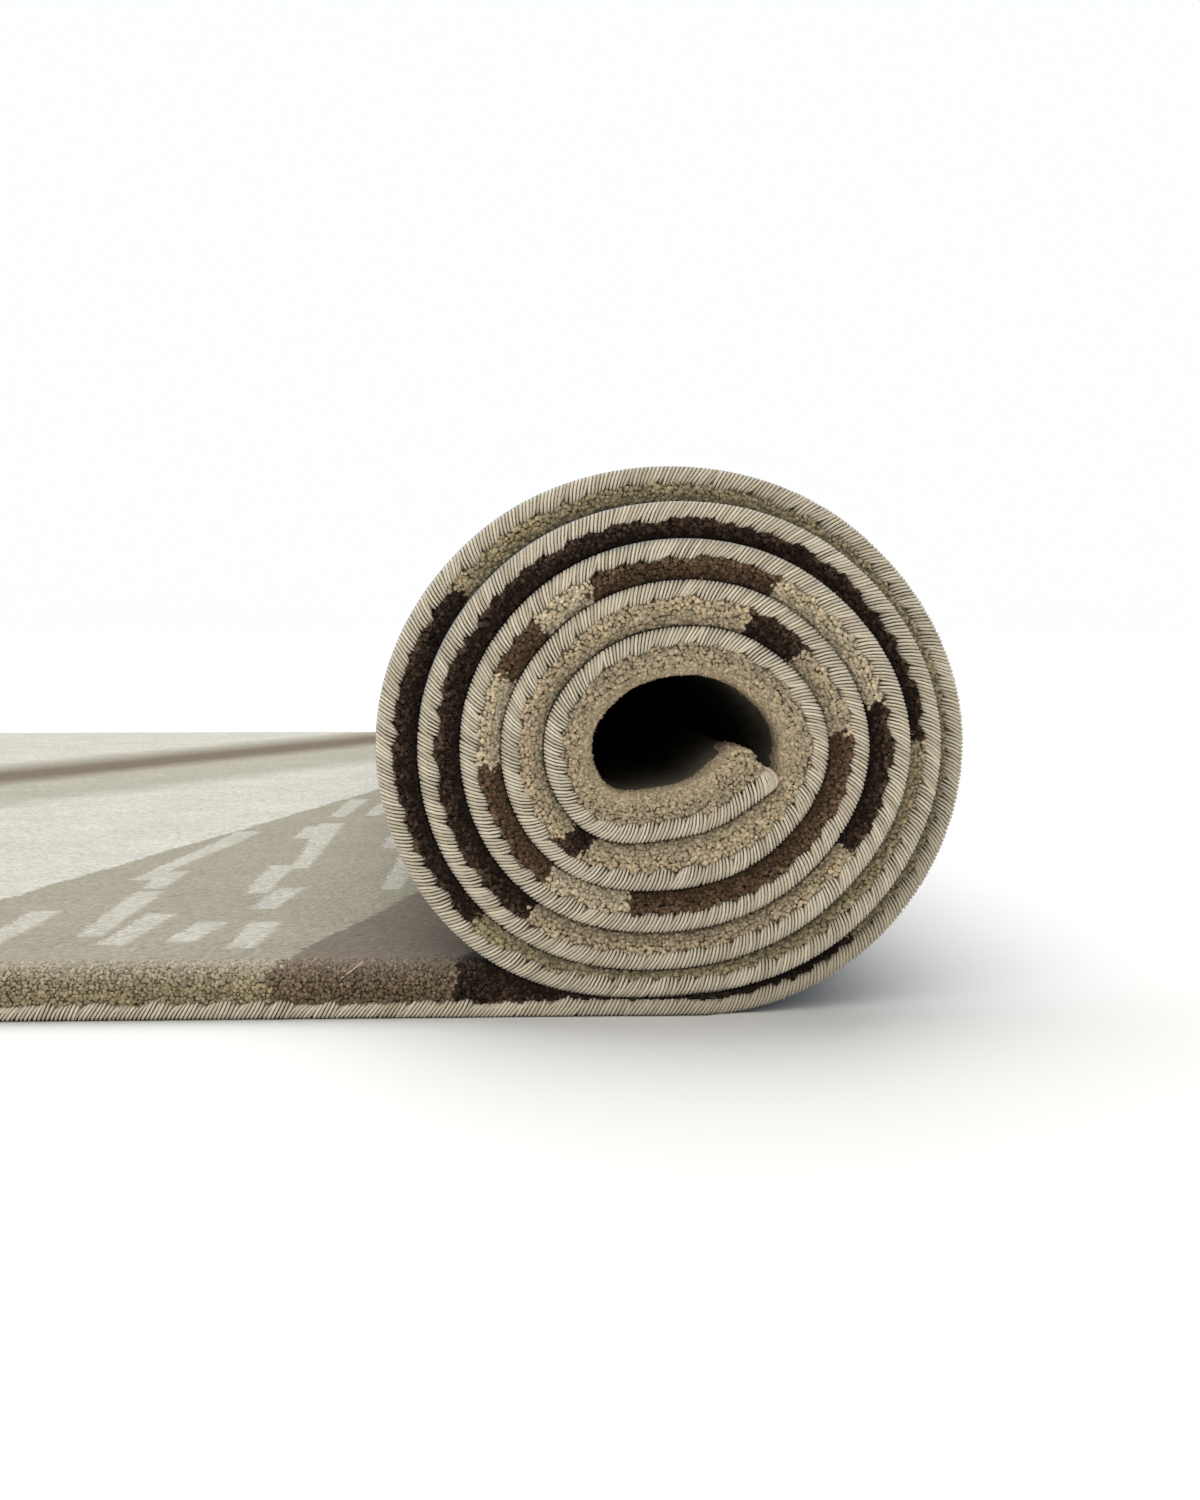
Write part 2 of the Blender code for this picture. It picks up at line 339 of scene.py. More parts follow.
class Nodes:
    """Short calls for building a node tree. They take sockets or plain values, and most give a socket."""

    def __init__(self, tree):
        self.tree = tree

    def add(self, kind, inputs=None, **settings):
        node = self.tree.nodes.new("ShaderNode" + kind)
        for name, value in settings.items():
            setattr(node, name, value)
        for name, value in (inputs or {}).items():
            self.put(node.inputs[name], value)
        return node

    def put(self, socket, value):
        if isinstance(value, bpy.types.NodeSocket):
            self.tree.links.new(value, socket)
        elif isinstance(value, tuple) and len(value) == 3 and socket.type == "RGBA":
            socket.default_value = (*value, 1)
        else:
            socket.default_value = value

    def math(self, operation, a, b=0.0, c=0.0):
        return self.add("Math", {0: a, 1: b, 2: c}, operation=operation).outputs[0]

    def mix_value(self, share, a, b):
        return self.math("MULTIPLY_ADD", share, b - a, a)

    def map_range(self, value, low, high, at_low=0.0, at_high=1.0):
        inputs = {0: value, 1: low, 2: high, 3: at_low, 4: at_high}
        return self.add("MapRange", inputs, clamp=True).outputs[0]

    def vector(self, operation, a, b):
        return self.add("VectorMath", {0: a, 1: b}, operation=operation).outputs[0]

    def scale(self, vector, factor):
        return self.add("VectorMath", {0: vector, "Scale": factor}, operation="SCALE").outputs[0]

    def mix(self, share, a, b):
        node = self.add("Mix", data_type="RGBA")
        self.put(node.inputs["Factor"], share)
        self.put(node.inputs["A"], a)
        self.put(node.inputs["B"], b)
        return node.outputs["Result"]

    def noise(self, place, scale, detail):
        return self.add("TexNoise", {"Vector": place, "Scale": scale, "Detail": detail}).outputs["Fac"]

    def object_noise(self, scale, detail):
        return self.noise(self.add("TexCoord").outputs["Object"], scale, detail)

    def rug_place(self):
        """The place on the rug that mesh_piece stores, whole, and its run, across and tone."""
        whole = self.add("Attribute", attribute_name=PLACE, attribute_type="GEOMETRY").outputs["Vector"]
        return (whole, *self.add("SeparateXYZ", {0: whole}).outputs)

    def ramp(self, place, rows, span, interpolation):
        """Colours along a place in metres: rows of mm and colour name, within a span in mm."""
        low, high = span
        node = self.add("ValToRGB")
        node.color_ramp.interpolation = interpolation
        elements = node.color_ramp.elements
        while len(elements) > 1:
            elements.remove(elements[-1])
        for i, (start, colour) in enumerate(rows):
            at = (start - low) / (high - low)
            element = elements[0] if i == 0 else elements.new(at)
            element.position = at
            element.color = (*COLOURS[colour], 1)
        from_low = self.math("SUBTRACT", place, low * MM)
        self.put(node.inputs[0], self.math("DIVIDE", from_low, (high - low) * MM))
        return node.outputs["Color"]


def dash_share(n, run, across, shift, dash):
    """How much of one dash shows at a place, from 0 to 1."""
    middle, start, end, lean = dash
    off = n.math("SUBTRACT", across, (start + end) / 2 * MM)
    beside = n.math("SUBTRACT", n.math("MULTIPLY_ADD", off, -lean, run), middle * MM)
    beside = n.math("ABSOLUTE", n.math("MULTIPLY_ADD", shift, DASH_BEND, beside))
    half_width = n.math("MULTIPLY_ADD", off, DASH_TAPER, DASH_WIDTH / 2 * MM)
    within = n.math("SUBTRACT", half_width, beside)
    along = n.math("SUBTRACT", (end - start) / 2 * MM, n.math("ABSOLUTE", off))
    inside = n.math("MINIMUM", within, n.math("MULTIPLY", along, DASH_END_SHARPNESS))
    return n.map_range(inside, *DASH_FADE)


def design_group():
    """The rug's pattern: a colour for each place on the rug: along it, from the line under the roll's
    centre, and across it, both in metres."""
    group = bpy.data.node_groups.new("rug_design", "ShaderNodeTree")
    group.interface.new_socket("Place", in_out="INPUT", socket_type="NodeSocketVector")
    group.interface.new_socket("Color", in_out="OUTPUT", socket_type="NodeSocketColor")
    n = Nodes(group)
    place = n.add("SeparateXYZ", {0: group.nodes.new("NodeGroupInput").outputs[0]})
    run, across = place.outputs[0], place.outputs[1]
    point = n.add("CombineXYZ", {0: run, 1: across}).outputs[0]
    wander = n.math("SUBTRACT", n.noise(point, WANDER_SCALE, 2.0), 0.5)
    speckle = n.math("SUBTRACT", n.noise(point, RAGGED_SCALE, 2.0), 0.5)
    shift = n.math("MULTIPLY", wander, WANDER)
    ragged = n.math("MULTIPLY_ADD", speckle, RAGGED, shift)
    field_at = n.math("ADD", n.math("MULTIPLY_ADD", across, -FIELD_LEAN, run), ragged)
    band_at = n.math("ADD", n.math("MULTIPLY_ADD", across, -BAND_LEAN, run), shift)
    fields = n.ramp(field_at, FIELDS, FIELD_SPAN, "CONSTANT")
    band = n.ramp(band_at, BAND, BAND_SPAN, "LINEAR")
    in_cream = n.math("LESS_THAN", field_at, FIELDS[1][0] * MM)
    colour = n.mix(in_cream, fields, band)
    for dash in lay_out_dashes():
        colour = n.mix(dash_share(n, run, across, shift, dash), colour, COLOURS["ivory"])
    n.put(group.nodes.new("NodeGroupOutput").inputs[0], colour)
    return group


def new_material(name, finish):
    """A material whose shader has these values on its own sockets."""
    material = bpy.data.materials.new(name)
    material.use_nodes = True
    material.node_tree.nodes.clear()
    n = Nodes(material.node_tree)
    shader = n.add("BsdfPrincipled", finish)
    output = n.add("OutputMaterial")
    n.put(output.inputs["Surface"], shader.outputs[0])
    return material, n, shader


def dress(n, shader, colour, height, strength, depth):
    """Give a shader its colour, and bump this deep from a height."""
    bump = n.add("Bump", {"Height": height, "Strength": strength, "Distance": depth})
    n.put(shader.inputs["Base Color"], colour)
    n.put(shader.inputs["Normal"], bump.outputs[0])


TUFT_CELL = 1.7 * MM                 # between the tufts of the plain pile surface
SIDE_TINT = (1.02, 1.0, 0.97)        # the sides of the tufts, without the painted sky sheen
SKY_SHEEN_TINT = (0.94, 1.0, 1.2)          # painted sky sheen: their flat cut tips on the floor stretch are tinted cooler
TIP_PLACES = (3.5 * MM, 10.5 * MM)   # in from the edge: the tint goes over from the one to the other
LIFT_OFF = 60 * MM                   # the flat stretch's looks fade this far past the roll's centre line
GLINT = (0.16, 0.11, 0.072)          # painted glints: a highlight on the lightest fibres, which shows even in the darkest fields


def wool(name, design, tufted):
    """Cut wool pile. On the plain surface the tufts are cells of the shader, each of one colour;
    on tufts that are modelled the colour is each tuft's own."""
    material, n, shader = new_material(name, {
        "Roughness": 0.95, "Specular IOR Level": 0.15, "Sheen Weight": 0.12 if tufted else 0.3,
        "Sheen Roughness": 0.45, "Sheen Tint": (1.0, 0.96, 0.86),
    })
    _, run, across, tone = n.rug_place()
    place = n.add("CombineXYZ", {0: run, 1: across}).outputs[0]
    fibres = n.object_noise(2600.0, 3.0)
    cloud = n.noise(place, 22.0, 3.0)
    on_floor = n.map_range(run, 0.0, LIFT_OFF, 1.0, 0.0)
    if tufted:
        root = place
        height, depth = fibres, 0.25 * MM
        # tone holds each tuft's random tone together with its painted shade
        light = n.mix_value(tone, 0.74, 1.19)
    else:
        cells = n.add("TexVoronoi", {"Vector": place, "Scale": 1 / TUFT_CELL}, voronoi_dimensions="2D")
        root = cells.outputs["Position"]
        tone = n.add("SeparateColor", {0: cells.outputs["Color"]}).outputs[0]
        dome = n.math("SUBTRACT", 1.0, cells.outputs["Distance"])
        height, depth = n.math("MULTIPLY_ADD", fibres, 0.35, dome), 0.9 * MM
        light = n.mix_value(tone, 0.80, 1.14)
    light = n.math("MULTIPLY", light, n.mix_value(fibres, 0.85, 1.15))
    light = n.math("MULTIPLY", light, n.mix_value(cloud, 0.85, 1.15))
    # painted sky sheen: the cut tips on the floor stretch are tinted cooler than the sides
    tip = n.map_range(across, *TIP_PLACES)
    tint = n.mix(n.math("MULTIPLY", tip, on_floor), SIDE_TINT, SKY_SHEEN_TINT)
    colour = n.vector("MULTIPLY", n.add("Group", {0: root}, node_tree=design).outputs[0], tint)
    if tufted:
        # painted glints on the lightest fibres
        glint = n.math("MULTIPLY", n.math("POWER", tone, 2.5), fibres)
        colour = n.vector("ADD", n.scale(colour, light), n.scale(GLINT, glint))
    else:
        # painted shade: the surface is darker inside the roll, between the tufts that are modelled
        light = n.math("MULTIPLY", light, n.mix_value(on_floor, 0.55, 1.0))
        colour = n.scale(colour, light)
    dress(n, shader, colour, height, 0.8, depth)
    return material


def yarn(name):
    """Overcast wool yarn: each strand its own tone, with fine fibres along it."""
    material, n, shader = new_material(name, {
        "Roughness": 0.85, "Specular IOR Level": 0.25, "Sheen Weight": 0.3, "Sheen Roughness": 0.5,
    })
    _, _, _, tone = n.rug_place()
    fibres = n.object_noise(2200.0, 3.0)
    share = n.math("MULTIPLY_ADD", fibres, 0.5, n.math("MULTIPLY", tone, 0.8))
    strand = n.mix(share, COLOURS["yarn_shade"], COLOURS["yarn"])
    in_core = n.math("LESS_THAN", tone, 0.0)    # only CORE_TONE is below 0
    # the cord shows in the gaps between strands, darker as painted shade
    dress(n, shader, n.mix(in_core, strand, COLOURS["core_painted_shade"]), fibres, 0.6, 0.2 * MM)
    return material


TWO_THREADS = 1.6 * MM               # one thread over and one under
SLUB_SCALES = (900.0, 25.0, 1.0)     # thick threads, which lie across the rug: noise scales each way


def cotton(name):
    """Plain woven cotton: one thread over, one under, with thicker threads here and there."""
    material, n, shader = new_material(name, {
        "Roughness": 0.9, "Specular IOR Level": 0.2, "Sheen Weight": 0.2,
    })
    place, run, across, _ = n.rug_place()
    per_metre = 2 * math.pi / TWO_THREADS
    warp = n.math("SINE", n.math("MULTIPLY", run, per_metre))
    weft = n.math("SINE", n.math("MULTIPLY", across, per_metre))
    weave = n.math("MULTIPLY_ADD", n.math("MULTIPLY", warp, weft), 0.5, 0.5)
    slub = n.noise(n.vector("MULTIPLY", place, SLUB_SCALES), 1.0, 2.0)
    cloud = n.noise(place, 9.0, 4.0)
    share = n.math("MULTIPLY_ADD", weave, 0.35, n.math("MULTIPLY", cloud, 0.6))
    share = n.math("MULTIPLY_ADD", slub, 0.3, share)
    colour = n.mix(share, COLOURS["cotton_shade"], COLOURS["cotton"])
    dress(n, shader, colour, n.math("MULTIPLY_ADD", slub, 0.6, weave), 0.7, 0.35 * MM)
    return material


# -------------------------------- cloth
LEDGE = 4.9 * MM           # the pile overhangs the bindings above here
LEDGE_COVER = 0.5 * MM     # at least this much pile lies over the ledge where the pile is crushed
SOLE = 1.15 * MM           # the underside of the pile's foundation, just above the cotton back
INSET = 5.1 * MM           # from the edge of the rug to its foundation, behind the binding
SETBACK = 1.7 * MM         # from the edge of the rug to the side of the pile
END_SETBACK = 2.0 * MM     # the same at the rug's two ends
END_ROUNDING = 5 * MM      # the radius of the pile's edge at the rug's two ends
SHOULDERS = (1.2 * MM, 5.2 * MM)     # the least and the largest radius of the pile's long edges
TUFT_DEPTH = 0.5 * MM      # the plain surface lies this deep, under the tufts that are modelled
STATION = 3 * MM           # between the stations of a ribbon
END_STATIONS = np.array([0, 0.4, 1.0, 1.8, 2.8]) * MM    # closer together by its two ends
FIRST_STATION = 4 * MM     # where the even ones start


def shoulder(run):
    """The radius of the pile's rounded edges: large where nothing presses on the pile."""
    free = rug.read("room", run) - rug.read("thickness", run)
    return np.clip(1.1 * MM + 0.5 * free, *SHOULDERS)


def pile_height(run):
    """The pile's height above the back, rounded off towards the two ends of the rug."""
    thick = rug.read("thickness", run)
    from_end = np.clip(np.minimum(run, rug.length - run) - END_SETBACK, 0, END_ROUNDING)
    drop = END_ROUNDING - np.sqrt(END_ROUNDING**2 - (END_ROUNDING - from_end) ** 2)
    return np.maximum(thick - drop, np.minimum(LEDGE + 0.4 * MM, thick))


def ledge(run):
    """How far above the back the pile overhangs the binding: less where it is crushed."""
    return np.minimum(LEDGE, pile_height(run) - LEDGE_COVER)


def pile_side(run):
    """The side of the pile at its long edges: where it starts above the back, how far it goes straight
    up, and the radius of the shoulder that follows."""
    height, start = pile_height(run), ledge(run)
    radius = np.minimum(shoulder(run), (height - start) * 0.9)
    return start, height - radius - start, radius


def pile_profile(run, along):
    """Across and above, for places up the near side of the pile and over its shoulder: along is the
    distance from the ledge."""
    start, side, radius = pile_side(run)
    angle = np.clip((along - side) / radius, 0, math.pi / 2)
    over = np.maximum(along - side - radius * math.pi / 2, 0)
    across = SETBACK + radius * (1 - np.cos(angle)) + over
    above = start + np.clip(along, 0, side) + radius * np.sin(angle)
    return across, above


def ribbon(name, outline, finish, margin):
    """A closed sheet along the rug, this margin inside its two ends; outline gives a loop of across and
    above at each run."""
    ends = margin + END_STATIONS
    first = margin + FIRST_STATION
    runs = np.linspace(first, rug.length - first, int(rug.length / STATION))
    runs = np.concatenate([ends, runs, rug.length - ends[::-1]])
    loops = outline(runs)
    stations, count, _ = loops.shape
    points = rug.place(runs[:, None], loops[..., 0], loops[..., 1])
    index = np.arange(stations * count).reshape(stations, count)
    low, high = index[:-1], index[1:]
    quads = np.stack([low, high, np.roll(high, -1, 1), np.roll(low, -1, 1)], axis=-1).reshape(-1, 4)
    tone = np.full((stations, count), 0.5)
    marks = np.stack([np.repeat(runs[:, None], count, 1), loops[..., 0], tone], -1)
    faces = quads.tolist() + [index[0].tolist(), index[-1, ::-1].tolist()]
    return mesh_piece(name, points.reshape(-1, 3), faces, finish, marks.reshape(-1, 3))


# Waves of the surface: radians a metre along the run and across it, and phase
WAVES = ((71, 43, 0.3), (39, 97, 1.7), (23, 31, 4.1), (113, 19, 2.2))


def waves(run, across, size):
    """Gentle unevenness from a few fixed waves."""
    total = 0
    for run_wave, across_wave, phase in WAVES:
        total = total + np.sin(run * run_wave + across * across_wave + phase)
    return total * size / len(WAVES)


def pile_outline(runs):
    """Round the pile, from its foot at the near edge over the top to the far edge, and back under it."""
    run = runs[:, None]
    height = pile_height(run)
    start, side, radius = pile_side(run)
    turn = np.linspace(0, 1, 6)[None]
    across, above = pile_profile(run, side + radius * math.pi / 2 * turn)
    across, above = across + TUFT_DEPTH * (1 - turn), above - TUFT_DEPTH * turn
    # columns close together by the edges and further apart towards the middle
    inner = np.concatenate([[12, 20, 34], np.geomspace(60, RUG_WIDTH / 2 / MM, 12)]) * MM
    inner = np.concatenate([inner, RUG_WIDTH - inner[-2::-1]])
    level = np.ones_like(run)
    deep = height > LEDGE + 3 * MM
    top = height - TUFT_DEPTH + waves(run, inner, 0.35 * MM) * deep
    over_bead = np.minimum(run, rug.length - run) < INSET
    sole = np.where(over_bead, start, SOLE)
    foot = [(INSET, sole), (INSET, start), (SETBACK + TUFT_DEPTH, start)]
    columns = [np.stack([level * a, h], -1) for a, h in foot]
    columns += [np.stack([across, above], -1), np.stack([level * inner, top], -1)]
    columns += [np.stack([RUG_WIDTH - across[:, ::-1], above[:, ::-1]], -1)]
    columns += [np.stack([level * (RUG_WIDTH - a), h], -1) for a, h in foot[::-1]]
    columns += [np.stack([level * a, sole], -1) for a in np.linspace(RUG_WIDTH, 0, 9)[1:-1]]
    return np.concatenate(columns, axis=1)


def backing_outline(runs):
    """Round the cotton, which reaches just under the bindings, and is a little uneven on its outside."""
    inset = INSET - 0.1 * MM
    across = np.linspace(inset, RUG_WIDTH - inset, 40)
    level = np.ones((len(runs), len(across)))
    dents = np.maximum(waves(runs[:, None], across, 0.12 * MM), 0)
    below = np.stack([level * across, dents], -1)
    above = np.stack([level * across[::-1], level * BACKING_THICKNESS], -1)
    return np.concatenate([above, below], axis=1)


# -------------------------------- overcast bindings
BEAD_MIDDLE = 2.7 * MM      # the middle of the overcast edge, in from the edge and up from the back
BEAD_REACH = 2.25 * MM      # from there to the middle of a strand
CORNER = 2.0 * MM           # the middle line's radius at the rug's corners
SLANT = 1.55 * MM           # a strand leans this far along the edge, each way from its middle
CORE_RADIUS = 2.0 * MM
CORE_TONE = -1              # marks the cord that the strands go round
FIBRE_SIDES, STRAND_SIDES, CORE_SIDES = 3, 4, 8


def edge_route(edge, pitch):
    """Where the strands of one edge lie on the rug: run, across and the outward direction."""
    far_run, far_across = rug.length, RUG_WIDTH
    turn = BEAD_MIDDLE + CORNER
    corners = {"outer_near": (turn, turn), "inner_near": (far_run - turn, turn),
               "inner_far": (far_run - turn, far_across - turn), "outer_far": (turn, far_across - turn)}

    def bend(name, start, end):
        steps = int(math.radians(end - start) * (CORNER + BEAD_MIDDLE) / pitch)
        angles = np.radians(np.linspace(start, end, steps, endpoint=False))
        out = np.stack([np.cos(angles), np.sin(angles)], -1)
        return np.concatenate([out * CORNER + corners[name], out], axis=1)

    def straight(start, end, out):
        start = np.array(corners[start]) + np.array(out) * CORNER
        end = np.array(corners[end]) + np.array(out) * CORNER
        count = int(np.linalg.norm(end - start) / pitch)
        share = (np.arange(count) + 0.5)[:, None] / count
        return np.concatenate([start + (end - start) * share, np.tile(out, (count, 1))], axis=1)

    if edge == "near":
        side = straight("outer_near", "inner_near", (0.0, -1.0))
        return np.concatenate([bend("outer_near", 180, 270), side, bend("inner_near", 270, 360)])
    if edge == "far":
        side = straight("inner_far", "outer_far", (0.0, 1.0))
        return np.concatenate([bend("inner_far", 0, 90), side, bend("outer_far", 90, 180)])
    if edge == "inner_end":
        return straight("inner_near", "inner_far", (1.0, 0.0))
    return straight("outer_far", "outer_near", (-1.0, 0.0))


class Overcast:
    """Strands of yarn overcast round one edge, in bundles whose inner ends make a scalloped border."""

    BUNDLES = (4, 9)               # strands in a bundle: from the first number to one less than the second
    BULGES = (0.2, 1.2)            # how much of a full bulge each bundle has
    BULGE_HEIGHT = 1.4 * MM        # a full bulge's inner end is this much higher in its middle
    BULGE_DEPTH = 0.3 * MM         # and stands this much further out
    LEAN_SPREAD = 0.25             # bundles lean more or less than the slant by up to this share
    UNEVEN_BUNDLES = 0.12 * MM     # how unevenly bundles, strands and their inner ends lie
    UNEVEN_STRANDS = 0.05 * MM
    UNEVEN_ENDS = 0.15 * MM
    ROOM_LEFT = 0.4 * MM           # between the inner ends and the next turn
    LEAST_RISE = 1.1 * MM          # of the inner ends above the bead's middle, where a turn lies on them
    GATHER = 0.12                  # a bundle's strands draw together by this share towards their inner ends
    TURN = (-112, 118)             # degrees: a strand goes round the edge from the back to the pile
    STRAND_RADIUS = 0.375          # as a share of the pitch, and its spread
    RADIUS_SPREAD = 0.15
    TONES = (0.15, 0.85)           # the darkest and the lightest strand

    def __init__(self, edge, pitch):
        self.pitch = pitch
        self.route = edge_route(edge, pitch)
        count = len(self.route)
        sizes = RNG.integers(*self.BUNDLES, count)
        starts = np.cumsum(np.concatenate([[0], sizes]))
        which = np.searchsorted(starts, np.arange(count), side="right") - 1
        size = sizes[which]
        self.beside = (np.arange(count) - starts[which] + 0.5) / size * 2 - 1
        self.half_width = size * pitch / 2
        self.bulge = (1 - np.abs(self.beside) ** 3) * RNG.uniform(*self.BULGES, count)[which]
        self.lean = SLANT * (1 + RNG.uniform(-self.LEAN_SPREAD, self.LEAN_SPREAD, count)[which])
        self.lift = self.UNEVEN_BUNDLES * RNG.standard_normal(count)[which]
        self.lift += self.UNEVEN_STRANDS * RNG.standard_normal(count)
        run = self.route[:, 0]
        ragged = self.valley(run) + self.BULGE_HEIGHT * self.bulge
        ragged += self.UNEVEN_ENDS * RNG.standard_normal(count)
        self.border = np.minimum(ragged, rug.read("room", run) - self.ROOM_LEFT)

    @staticmethod
    def valley(run):
        """How far above the back the strands reach between two bundles: low on the floor, where the pile
        falls over them, and high round the tip of the tongue."""
        heights = {FLAT_LENGTH: 3.9, FLAT_LENGTH + 90 * MM: 4.7,
                   rug.length - 15 * MM: 4.7, rug.length - 5 * MM: 6.0}
        return np.interp(run, list(heights), [height * MM for height in heights.values()])

    @staticmethod
    def painted_contact_shade(run):
        """The share of its tone that a strand keeps: painted shade, darker where the roll stands on the
        floor.
        """
        places = np.array([-40, 10, 80, 150]) * MM
        return np.interp(run - FLAT_LENGTH, places, [1.0, 0.25, 0.25, 1.0])

    def border_at(self, run):
        """How far above the back the strands reach along the near edge."""
        return np.interp(run, self.route[:, 0] + self.lean, self.border)

    def strands(self, chosen, steps):
        route = self.route[chosen]
        count = len(route)
        out_run, out_across = route[:, 2:3], route[:, 3:4]
        turn = np.radians(np.linspace(*self.TURN, steps))
        rise = np.sin(turn)
        upper = np.clip(rise, 0, 1)
        up = np.maximum(self.border[chosen] - BEAD_MIDDLE, self.LEAST_RISE)[:, None]
        down = BEAD_MIDDLE - 0.4 * MM
        reach = BEAD_REACH + (self.BULGE_DEPTH * (self.bulge - 0.5) + self.lift)[chosen][:, None]
        out = reach * np.cos(turn)
        gather = (self.beside * self.half_width)[chosen][:, None] * upper**2 * self.GATHER
        slide = self.lean[chosen][:, None] * rise - gather
        run = route[:, 0:1] + out_run * out - out_across * slide
        across = route[:, 1:2] + out_across * out + out_run * slide
        paths = rug.place(run, across, BEAD_MIDDLE + np.where(rise > 0, up, down) * rise)
        ends = np.interp(np.arange(steps), [0, 1, steps - 2, steps - 1], [0.6, 1.0, 1.0, 0.6])
        spread = RNG.uniform(1 - self.RADIUS_SPREAD, 1 + self.RADIUS_SPREAD, count)[:, None]
        radius = self.pitch * self.STRAND_RADIUS * spread * ends
        here = rug.place(route[:, 0], route[:, 1], BEAD_MIDDLE)
        ahead = rug.place(route[:, 0] - out_across[:, 0] * MM, route[:, 1] + out_run[:, 0] * MM, BEAD_MIDDLE)
        hint = unit(ahead - here)[:, None]
        # painted shade: strands are darker where the roll stands on the floor
        tone = RNG.uniform(*self.TONES, count) * self.painted_contact_shade(route[:, 0])
        marks = np.stack([route[:, 0], route[:, 1], tone], -1).repeat(steps * STRAND_SIDES, axis=0)
        return (*tube_mesh(paths, radius, STRAND_SIDES, hint), marks)

    def core(self, chosen):
        """The cord that the strands go round."""
        at = self.route[chosen][::3]
        path = rug.place(at[:, 0], at[:, 1], BEAD_MIDDLE)[None]
        hint = unit(rug.place(at[:, 0], at[:, 1], BEAD_MIDDLE + MM)[None] - path)
        marks = np.concatenate([at[:, :2], np.full((len(at), 1), CORE_TONE)], axis=1)
        tube = tube_mesh(path, np.full((1, len(at)), CORE_RADIUS), CORE_SIDES, hint)
        return (*tube, marks.repeat(CORE_SIDES, axis=0))

    def piece(self, name, finish, steps, start=0.0, end=1.0):
        """The part of the binding between two shares of its length, as one piece."""
        chosen = slice(int(start * len(self.route)), int(end * len(self.route)))
        points, quads, caps, marks = self.strands(chosen, steps)
        core_points, core_quads, core_caps, core_marks = self.core(chosen)
        faces = quads.tolist() + caps.tolist()
        faces += (core_quads + len(points)).tolist() + (core_caps + len(points)).tolist()
        return mesh_piece(name, np.concatenate([points, core_points]), faces, finish,
                          np.concatenate([marks, core_marks]))


# -------------------------------- tufts and fuzz
TUFT_SIZES = (0.66, 1.0)    # a tuft's radius as a share of the spacing, before each way is stretched
TUFT_STRETCH = (0.72, 1.3)
JITTER = 0.4                # tufts lie off their rows by up to this share of the spacing


def lump():
    """Points and faces of an eight-sided lump."""
    points = np.array([(1, 0, 0), (-1, 0, 0), (0, 1, 0), (0, -1, 0), (0, 0, 1), (0, 0, -1)], float)
    faces = [(0, 2, 4), (2, 1, 4), (1, 3, 4), (3, 0, 4), (2, 0, 5), (1, 2, 5), (3, 1, 5), (0, 3, 5)]
    return points, np.array(faces)


def tufts(name, run, across, above, size, finish, shown, inward):
    """Ends of cut yarn, each turned its own way and of one tone and one colour. Shown is painted light and
    shade: 1 for those in the open and 0 for those deep down or under a turn, which are painted darker;
    inward is how far from the binding each one grows."""
    points, faces = lump()
    count = len(run)
    turned = RNG.standard_normal((count, 3, 3))
    first = unit(turned[:, 0])
    second = unit(turned[:, 1] - (turned[:, 1] * first).sum(-1, keepdims=True) * first)
    axes = np.stack([first, second, np.cross(first, second)], axis=1)
    stretch = RNG.uniform(*TUFT_STRETCH, (count, 3, 1)) * size[:, None, None]
    lumps = np.einsum("pk,ckx->cpx", points, axes * stretch)
    lumps += rug.place(run, across, above)[:, None]
    index = faces[None] + (np.arange(count) * len(points))[:, None, None]
    # painted shade: tufts deep down or under a turn get a lower tone
    tone = RNG.uniform(0, 0.85, count) + 0.4 * shown
    root = run + RNG.standard_normal(count) * 0.9 * MM
    marks = np.stack([root, inward, tone], -1).repeat(len(points), axis=0)
    return mesh_piece(name, lumps.reshape(-1, 3), index.reshape(-1, 3).tolist(), finish, marks)


LOWEST_TUFT = 3.3 * MM      # above the back: from here to the ledge they hang over the binding
STANDS_FREE = 2 * MM        # a shoulder with a smaller radius than this has another turn lying on it


def edge_tufts(name, start, end, over, spacing, finish, binding):
    """Tufts up the near side of the pile and a little way over its shoulder, between two runs."""
    runs = np.arange(start, end, spacing)
    rows = np.arange(LOWEST_TUFT - LEDGE, FLAT_THICKNESS + over, spacing * 0.9)
    run, along = np.meshgrid(runs, rows, indexing="ij")
    shape = run.shape
    run = run + spacing * (0.5 * (np.arange(len(rows)) % 2) + RNG.uniform(-JITTER, JITTER, shape))
    along = along + RNG.uniform(-0.35, 0.35, shape) * spacing
    across, above = pile_profile(run, along)
    above = np.where(along < 0, LEDGE + along, above)
    depth = pile_height(run) - ledge(run)
    _, _, radius = pile_side(run)
    longest = depth + (math.pi / 2 - 1) * radius + np.where(radius > STANDS_FREE, over, 0.6 * MM)
    uneven = RNG.uniform(-0.35, 0.45, shape) * MM
    kept = (along < longest) & (above > binding.border_at(run) + uneven)
    kept &= (run > END_SETBACK) & (run < rug.length - END_SETBACK)
    at_side = across < SETBACK + 1 * MM
    set_in = RNG.uniform(-0.5, 0.4, shape) * MM * at_side
    # the tips lean in, under the turn that lies on them
    lain_on = radius < STANDS_FREE
    under = np.clip(1 - (depth - along) / (5 * MM), 0, 1) * lain_on
    set_in += 1.1 * MM * under**1.5
    # painted shade: darker under the next turn where it lies on the pile, and darker deep down by the
    # binding where the pile stands free
    shown = np.where(lain_on, 1 - 1.6 * under, np.clip(along / (9 * MM), 0, 1))
    size = spacing * RNG.uniform(*TUFT_SIZES, shape)
    sunk = 0.25 * MM * (across > SETBACK + 1 * MM)
    above = np.minimum(above - sunk, rug.read("room", run) - 0.5 * MM)
    inward = np.maximum(along, across)
    placed = (run[kept], (across + set_in)[kept], above[kept], size[kept])
    return tufts(name, *placed, finish, shown[kept], inward[kept])


